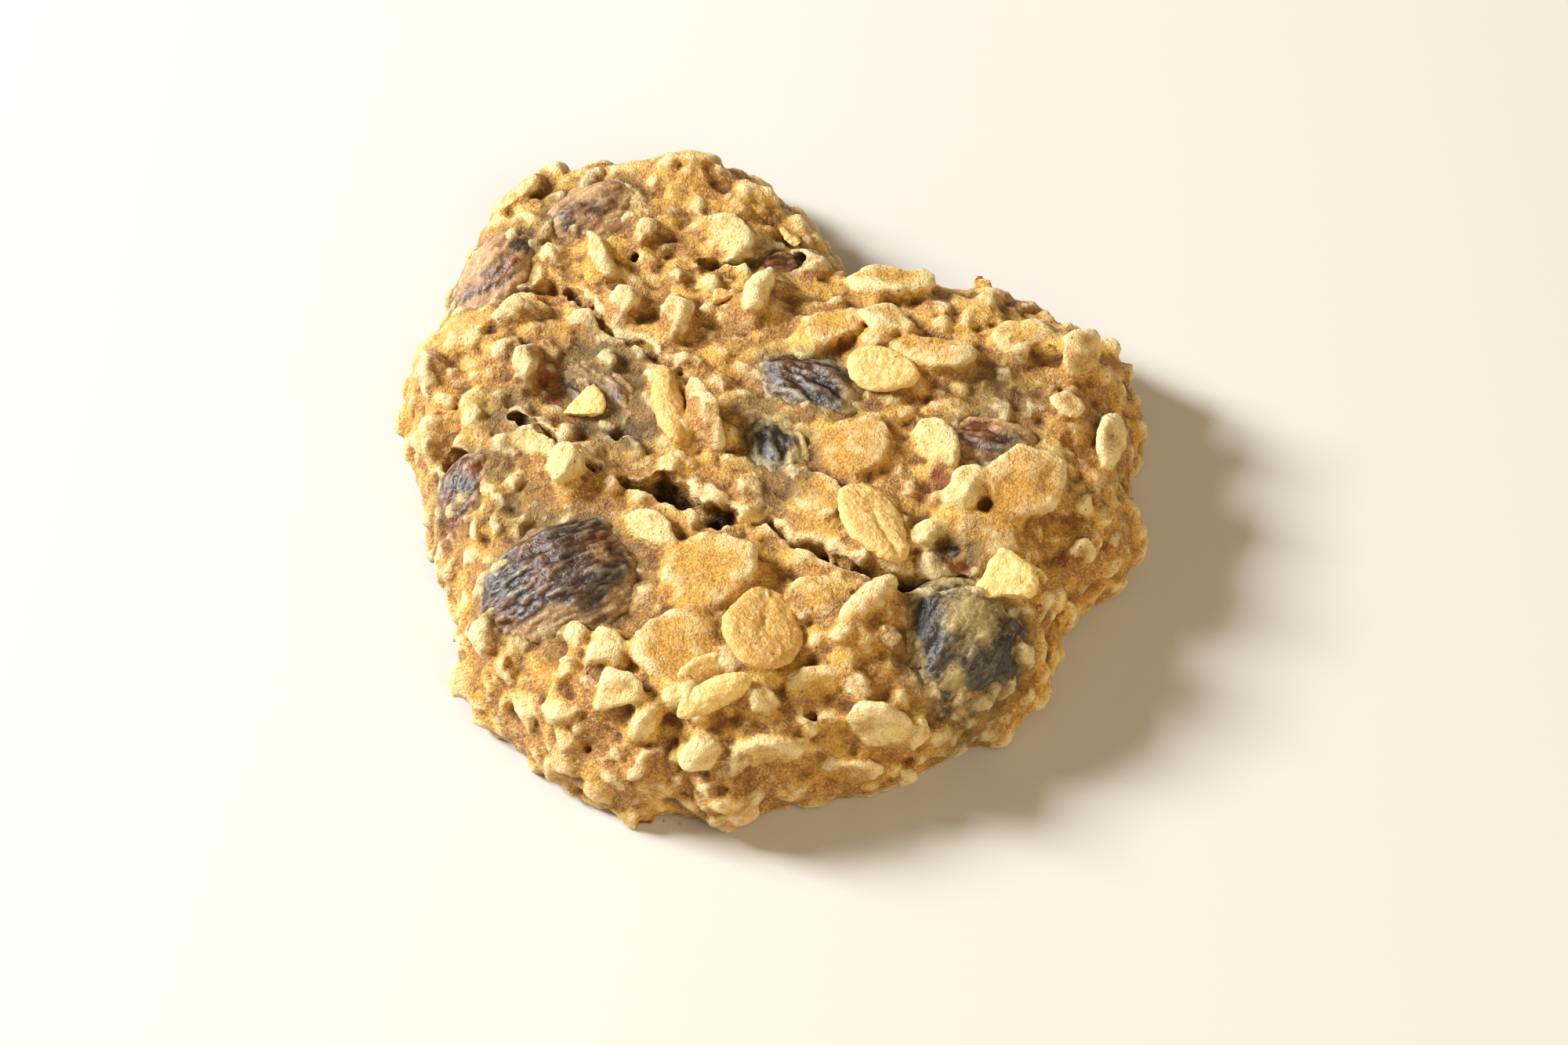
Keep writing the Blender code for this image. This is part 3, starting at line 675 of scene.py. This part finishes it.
def wrinkled_raisin(node, dough_tree):
    """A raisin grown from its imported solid, with wrinkles running along it."""
    heading, swell, film, red, folds = RAISIN_LOOKS[node]
    raisin = merged_copy(node, node + "_skin")
    finish_with(raisin, "REMESH", mode="VOXEL", voxel_size=RAISIN_VOXEL * MM)
    finish_with(raisin, "SMOOTH", factor=0.5, iterations=12)
    low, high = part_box(node)
    guide = bpy.data.objects.new("grain", None)
    bpy.context.scene.collection.objects.link(guide)
    guide.location = (low + high) / 2
    guide.rotation_euler = (0, 0, math.radians(heading))
    guide.scale = (2.8, 1, 1)
    bpy.context.view_layer.update()
    finish_with(raisin, "DISPLACE", strength=swell * MM, mid_level=0.0)
    for size, depth in WRINKLES:
        finish_with(raisin, "DISPLACE", texture=cloud("wrinkles", size), texture_coords="OBJECT",
                    texture_coords_object=guide, strength=folds * depth * MM, mid_level=0.5)
    discard(guide)
    select_only(raisin)
    bpy.ops.object.shade_smooth()
    # Hollows of the wrinkles, for painted shade in the folds and painted highlights on the ridges.
    shade_hollows(raisin, 12, 0.25)
    distance = np.array([dough_tree.find_nearest(Vector(point))[3] for point in points_of(raisin.data)]) / MM
    reach = BARE_WITHIN * min((high - low).xy) / MM
    set_shade(raisin, "bare", np.clip((distance - BARE_FROM) / reach, 0, 1))
    for x, y, reach in FILM_PATCHES:
        off = np.hypot(*(points_of(raisin.data)[:, :2] / MM - (x, y)).T)
        film = np.maximum(film, 1.5 * np.clip(1.3 - off / reach, 0, 1))
    set_shade(raisin, "film", film * np.ones(len(distance)))
    set_shade(raisin, "red", [red] * len(distance))
    return raisin


# ---------------------------------------------------------------- materials

class Paint:
    """A Principled material put together node by node."""

    def __init__(self, name):
        self.material = bpy.data.materials.new(name)
        self.material.use_nodes = True
        self.nodes = self.material.node_tree.nodes
        self.links = self.material.node_tree.links
        self.shader = self.nodes["Principled BSDF"]
        self.place = self.nodes.new("ShaderNodeTexCoord").outputs["Object"]

    def wire(self, socket, value):
        if isinstance(value, bpy.types.NodeSocket):
            self.links.new(value, socket)
        elif isinstance(value, tuple) and len(value) == 3 and socket.type == "RGBA":
            socket.default_value = (*value, 1)
        else:
            socket.default_value = value

    def grain(self, size, detail=3.0, rough=0.55, warp=0.0):
        node = self.nodes.new("ShaderNodeTexNoise")
        self.links.new(self.place, node.inputs["Vector"])
        node.inputs["Scale"].default_value = 1 / (size * MM)
        node.inputs["Detail"].default_value = detail
        node.inputs["Roughness"].default_value = rough
        node.inputs["Distortion"].default_value = warp
        return node.outputs["Fac"]

    def cells(self, size, feature="F1"):
        node = self.nodes.new("ShaderNodeTexVoronoi")
        node.feature = feature
        self.links.new(self.place, node.inputs["Vector"])
        node.inputs["Scale"].default_value = 1 / (size * MM)
        return node

    def shade(self, name):
        node = self.nodes.new("ShaderNodeAttribute")
        node.attribute_name = name
        return node.outputs["Fac"]

    def ramp(self, value, *stops):
        node = self.nodes.new("ShaderNodeValToRGB")
        self.links.new(value, node.inputs["Fac"])
        ramp = node.color_ramp
        while len(ramp.elements) < len(stops):
            ramp.elements.new(0.5)
        for element, (position, colour) in zip(ramp.elements, stops):
            element.position = position
            element.color = (*colour, 1) if isinstance(colour, tuple) else (colour, colour, colour, 1)
        return node.outputs["Color"]

    def mix(self, factor, a, b, blend="MIX"):
        node = self.nodes.new("ShaderNodeMix")
        node.data_type = "RGBA"
        node.blend_type = blend
        self.wire(node.inputs["Factor"], factor)
        self.wire(node.inputs["A"] if False else node.inputs[6], a)
        self.wire(node.inputs[7], b)
        return node.outputs[2]

    def maths(self, operation, a, b=0.0):
        node = self.nodes.new("ShaderNodeMath")
        node.operation = operation
        self.wire(node.inputs[0], a)
        self.wire(node.inputs[1], b)
        return node.outputs[0]

    def bump(self, height, depth, below=None):
        node = self.nodes.new("ShaderNodeBump")
        node.inputs["Distance"].default_value = depth * MM
        self.links.new(height, node.inputs["Height"])
        if below:
            self.links.new(below, node.inputs["Normal"])
        return node.outputs["Normal"]

    def set(self, **values):
        for name, value in values.items():
            self.wire(self.shader.inputs[name.replace("_", " ")], value)
        return self.material


def linear(red, green, blue):
    """A screen colour of 0 to 255 as the linear light that a shader takes."""
    return tuple(((c / 255 + 0.055) / 1.055) ** 2.4 if c > 10 else c / 255 / 12.92 for c in (red, green, blue))


def crust_paint():
    paint = Paint("baked_crust")
    blotch = paint.grain(6.0)
    sand = paint.grain(0.26, detail=3, rough=0.7)
    fine = paint.grain(1.1, detail=4)
    dough = paint.mix(paint.ramp(blotch, (0.35, 0.0), (0.65, 1.0)), linear(150, 98, 40), linear(170, 112, 34))
    dough = paint.mix(paint.ramp(fine, (0.4, 0.0), (0.7, 0.7)), dough, linear(200, 146, 62))
    oat = paint.ramp(paint.shade("tone"), (0.0, linear(204, 144, 40)), (0.75, linear(232, 186, 84)),
                     (1.0, linear(244, 218, 146)))
    oat = paint.mix(paint.ramp(fine, (0.45, 0.0), (0.75, 0.4)), oat, linear(200, 134, 22))
    thin = paint.ramp(paint.grain(1.7, detail=5, rough=0.65), (0.4, 1.0), (0.6, 0.4))
    colour = paint.mix(paint.maths("MULTIPLY", paint.shade("oat"), thin), dough, oat)
    colour = paint.mix(paint.ramp(sand, (0.5, 0.0), (0.72, 0.6)), colour, linear(246, 222, 164))
    colour = paint.mix(paint.ramp(sand, (0.28, 0.6), (0.45, 0.0)), colour, linear(138, 80, 16))
    # Painted shade: dark orange-brown in the crust's broad dips.
    dip = paint.ramp(paint.shade("dip"), (0.56, 0.0), (0.92, 0.65))
    colour = paint.mix(dip, colour, linear(134, 78, 10))
    # Painted highlight: pale gold on the crust's broad crests.
    painted_crest_highlight = paint.ramp(paint.shade("dip"), (0.1, 0.6), (0.42, 0.0))
    colour = paint.mix(painted_crest_highlight, colour, linear(244, 212, 146))
    patch = paint.ramp(paint.grain(1.6, detail=4), (0.34, 0.45), (0.58, 1.0))
    colour = paint.mix(paint.maths("MULTIPLY", paint.shade("veil"), patch), colour, linear(116, 92, 50))
    torn = paint.ramp(fine, (0.36, 0.2), (0.6, 1.0))
    colour = paint.mix(paint.maths("MULTIPLY", paint.shade("red"), torn), colour, linear(136, 62, 20))
    colour = paint.mix(paint.maths("MULTIPLY", paint.shade("dark"), torn), colour, linear(52, 34, 30))
    # Painted shade: dark brown in the crust's small hollows.
    hollow = paint.ramp(paint.shade("hollow"), (0.64, 0.0), (1.0, 0.85))
    colour = paint.mix(hollow, colour, linear(84, 38, 4))
    # Painted highlight: pale cream on the crust's small ridges.
    ridge = paint.ramp(paint.shade("hollow"), (0.12, 0.5), (0.42, 0.0))
    colour = paint.mix(ridge, colour, linear(248, 228, 176))
    # Painted shadow: near black deep inside the cracks and holes.
    colour = paint.mix(paint.ramp(paint.shade("deep"), (0.45, 0.0), (0.95, 0.94)), colour, linear(38, 17, 3))
    browned = paint.mix(paint.ramp(blotch, (0.4, 0.0), (0.65, 1.0)), linear(150, 88, 36), linear(112, 60, 24))
    colour = paint.mix(paint.ramp(paint.shade("base"), (0.3, 0.0), (0.8, 0.9)), colour, browned)
    specks = paint.ramp(paint.cells(1.9).outputs["Distance"], (0.06, 0.7), (0.1, 0.0))
    colour = paint.mix(specks, colour, linear(110, 58, 28))
    coarse = paint.bump(paint.grain(0.5, detail=2), 0.3, paint.bump(fine, 0.35))
    normal = paint.bump(sand, 0.34, coarse)
    return paint.set(
        Base_Color=colour, Roughness=0.42, Normal=normal, Specular_IOR_Level=0.4, Subsurface_Weight=0.08,
        Subsurface_Radius=(0.8, 0.5, 0.2), Subsurface_Scale=0.8 * MM,
    )


def clean_oat_paint():
    paint = Paint("clean_oats")
    colour = paint.mix(paint.shade("tone"), linear(198, 146, 66), linear(240, 206, 130))
    grain = paint.grain(1.1, detail=4)
    sand = paint.grain(0.42, detail=4, rough=0.65)
    colour = paint.mix(paint.ramp(grain, (0.4, 0.0), (0.7, 0.65)), colour, linear(206, 144, 50))
    colour = paint.mix(paint.ramp(sand, (0.5, 0.0), (0.72, 0.5)), colour, linear(246, 232, 186))
    colour = paint.mix(paint.ramp(sand, (0.28, 0.4), (0.46, 0.0)), colour, linear(176, 118, 52))
    # Painted shade: darker brown in the hollows of the oats' faces.
    hollow = paint.ramp(paint.shade("hollow"), (0.55, 0.0), (0.95, 0.8))
    colour = paint.mix(hollow, colour, linear(146, 92, 38))
    specks = paint.ramp(paint.cells(1.6).outputs["Distance"], (0.06, 0.75), (0.1, 0.0))
    colour = paint.mix(specks, colour, linear(110, 58, 28))
    normal = paint.bump(sand, 0.3, paint.bump(grain, 0.3))
    return paint.set(
        Base_Color=colour, Roughness=0.42, Normal=normal, Specular_IOR_Level=0.4, Subsurface_Weight=0.12,
        Subsurface_Radius=(0.9, 0.6, 0.3), Subsurface_Scale=1.0 * MM,
    )


def raisin_paint():
    paint = Paint("raisin_skin")
    hollow = paint.shade("hollow")
    # Painted highlight and painted shade: the skin, dark or red, is lighter on the wrinkles' ridges and near black in
    # their folds.
    dark = paint.ramp(hollow, (0.15, linear(96, 80, 60)), (0.5, linear(42, 31, 22)), (0.85, linear(11, 8, 6)))
    red = paint.ramp(hollow, (0.15, linear(168, 104, 46)), (0.5, linear(98, 52, 18)), (0.85, linear(40, 19, 6)))
    patchy = paint.ramp(paint.grain(3.5), (0.38, 0.1), (0.62, 1.0))
    skin = paint.mix(paint.maths("MULTIPLY", paint.shade("red"), patchy), dark, red)
    dust = paint.maths("MULTIPLY", paint.maths("SUBTRACT", paint.grain(2.2, detail=7, rough=0.75), 0.5), 3.2)
    cover = paint.maths("SUBTRACT", paint.maths("ADD", paint.shade("film"), dust), paint.shade("bare"))
    cover = paint.maths("ADD", cover, 0.35)
    film = paint.ramp(cover, (0.0, 0.0), (0.7, 0.85))
    # Painted sheen: patchy pale grey on the wrinkles' ridges, in place of a reflection.
    painted_sheen = paint.maths("MULTIPLY", paint.ramp(paint.grain(2.8), (0.42, 0.0), (0.6, 0.8)),
                        paint.ramp(hollow, (0.15, 1.0), (0.5, 0.0)))
    skin = paint.mix(painted_sheen, skin, linear(150, 144, 126))
    pale = paint.ramp(paint.shade("red"), (0.0, linear(196, 172, 104)), (0.4, linear(148, 116, 70)),
                      (0.85, linear(210, 160, 104)))
    sand = paint.grain(0.42, detail=4, rough=0.65)
    # Painted shade: the film of dough is darker brown in the wrinkles' hollows.
    coat = paint.mix(hollow, pale, linear(100, 72, 42))
    coat = paint.mix(paint.ramp(sand, (0.5, 0.0), (0.75, 0.6)), coat, linear(240, 216, 162))
    colour = paint.mix(film, skin, coat)
    gloss = paint.ramp(film, (0.0, 0.3), (0.8, 0.6))
    normal = paint.bump(sand, 0.16)
    return paint.set(Base_Color=colour, Roughness=gloss, Normal=normal, Subsurface_Weight=0.05,
                     Subsurface_Radius=(1.0, 0.3, 0.1), Subsurface_Scale=0.8 * MM)


def wear(thing, material):
    thing.data.materials.clear()
    thing.data.materials.append(material)
    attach(thing, "root")


# ---------------------------------------------------------------- the studio

CAMERA_ELEVATION = 54.0
CAMERA_DISTANCE = 420.0
CAMERA_AIM = (1.15, -3.0, 0.0)
CAMERA_LENS = 98.4


def aim(thing, target):
    thing.rotation_euler = (Vector(target) - thing.location).to_track_quat("-Z", "Y").to_euler()


def studio():
    middle = (cad_box[0] + cad_box[1]) / 2
    floor_z = cad_box[0][2]
    target = Vector((middle[0], middle[1], floor_z)) + Vector(CAMERA_AIM) * MM
    bpy.ops.object.camera_add()
    camera = bpy.context.active_object
    rise = math.radians(CAMERA_ELEVATION)
    camera.location = target + Vector((0, -math.cos(rise), math.sin(rise))) * CAMERA_DISTANCE * MM
    camera.data.lens = CAMERA_LENS
    camera.data.clip_start = 10 * MM
    aim(camera, target)
    bpy.context.scene.camera = camera

    bpy.ops.mesh.primitive_plane_add(size=4.0, location=(0, 0, floor_z - 0.05 * MM))
    floor = bpy.context.active_object
    floor.name = "table"
    paint = Paint("pale_table")
    floor.data.materials.append(paint.set(Base_Color=linear(196, 190, 182), Roughness=0.7))

    for name, place, size, power, colour in (
        ("window", (-850, 260, 560), 300, 30.0, (0.9, 0.95, 1.0)),
        ("fill", (360, -480, 400), 700, 4.0, (1.0, 0.84, 0.56)),
    ):
        bpy.ops.object.light_add(type="AREA", location=Vector(place) * MM)
        lamp = bpy.context.active_object
        lamp.name = name
        lamp.data.size = size * MM
        lamp.data.energy = power
        lamp.data.color = colour
        aim(lamp, target)

    world = bpy.data.worlds.new("studio")
    world.use_nodes = True
    world.node_tree.nodes["Background"].inputs["Color"].default_value = (1.0, 0.84, 0.6, 1)
    world.node_tree.nodes["Background"].inputs["Strength"].default_value = 0.24
    bpy.context.scene.world = world
    bpy.context.scene.view_settings.view_transform = "Standard"


# ---------------------------------------------------------------- putting it together

def bake_cookie():
    draw = random.Random(SEED)
    masters = {kind: make() for kind, make in OAT_MAKERS.items()}
    socket = merged_copy("dough", "socket")
    dough_tree = tree_of(socket)
    discard(socket)
    dough = rolled_dough()
    ground = tree_of(dough)
    passes = scatter_oats(masters, dough, draw)
    named = lay_named_oats(COATED_OATS, masters, ground, (0.1, 0.6))
    named += lay_named_oats(BRIGHT_OATS, masters, ground, (0.9, 1.0))
    oats = join(named + sum(passes[:RAGGED_ROWS], []), "coated_oats")
    ragged(oats)
    bits = crumble_lips(masters, ground, draw) + sum(passes[RAGGED_ROWS:], [])
    clean = lay_named_oats(CLEAN_OATS, masters, ground, (0.2, 1.0))
    crust = bake_crust(dough, [oats, *bits], crack_cutter(masters, ground, draw))
    # Small hollows, broad dips and crack depths, for painted shade, painted highlights and painted shadow on the crust.
    shade_hollows(crust, 12, 0.3)
    shade_hollows(crust, 70, 0.9, "dip")
    shade_depth(crust, ground)
    shade_veil(crust)
    wear(crust, crust_paint())
    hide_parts("dough")

    oats = join(clean, "clean_oats")
    finish_with(oats, "SUBSURF", levels=2, render_levels=2)
    ragged(oats, 0.6)
    for size, depth in OAT_FACES:
        finish_with(oats, "DISPLACE", texture=cloud("oat_faces", size), strength=depth * MM, mid_level=0.5)
    finish_with(oats, "DECIMATE", ratio=0.5)
    select_only(oats)
    bpy.ops.object.shade_smooth()
    # Hollows of the oats' faces, for painted shade.
    shade_hollows(oats, 4, 0.12)
    wear(oats, clean_oat_paint())
    discard(*masters.values())

    skin = raisin_paint()
    for node in RAISIN_NODES:
        raisin = wrinkled_raisin(node, dough_tree)
        wear(raisin, skin)
        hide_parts(node)


studio()
bake_cookie()
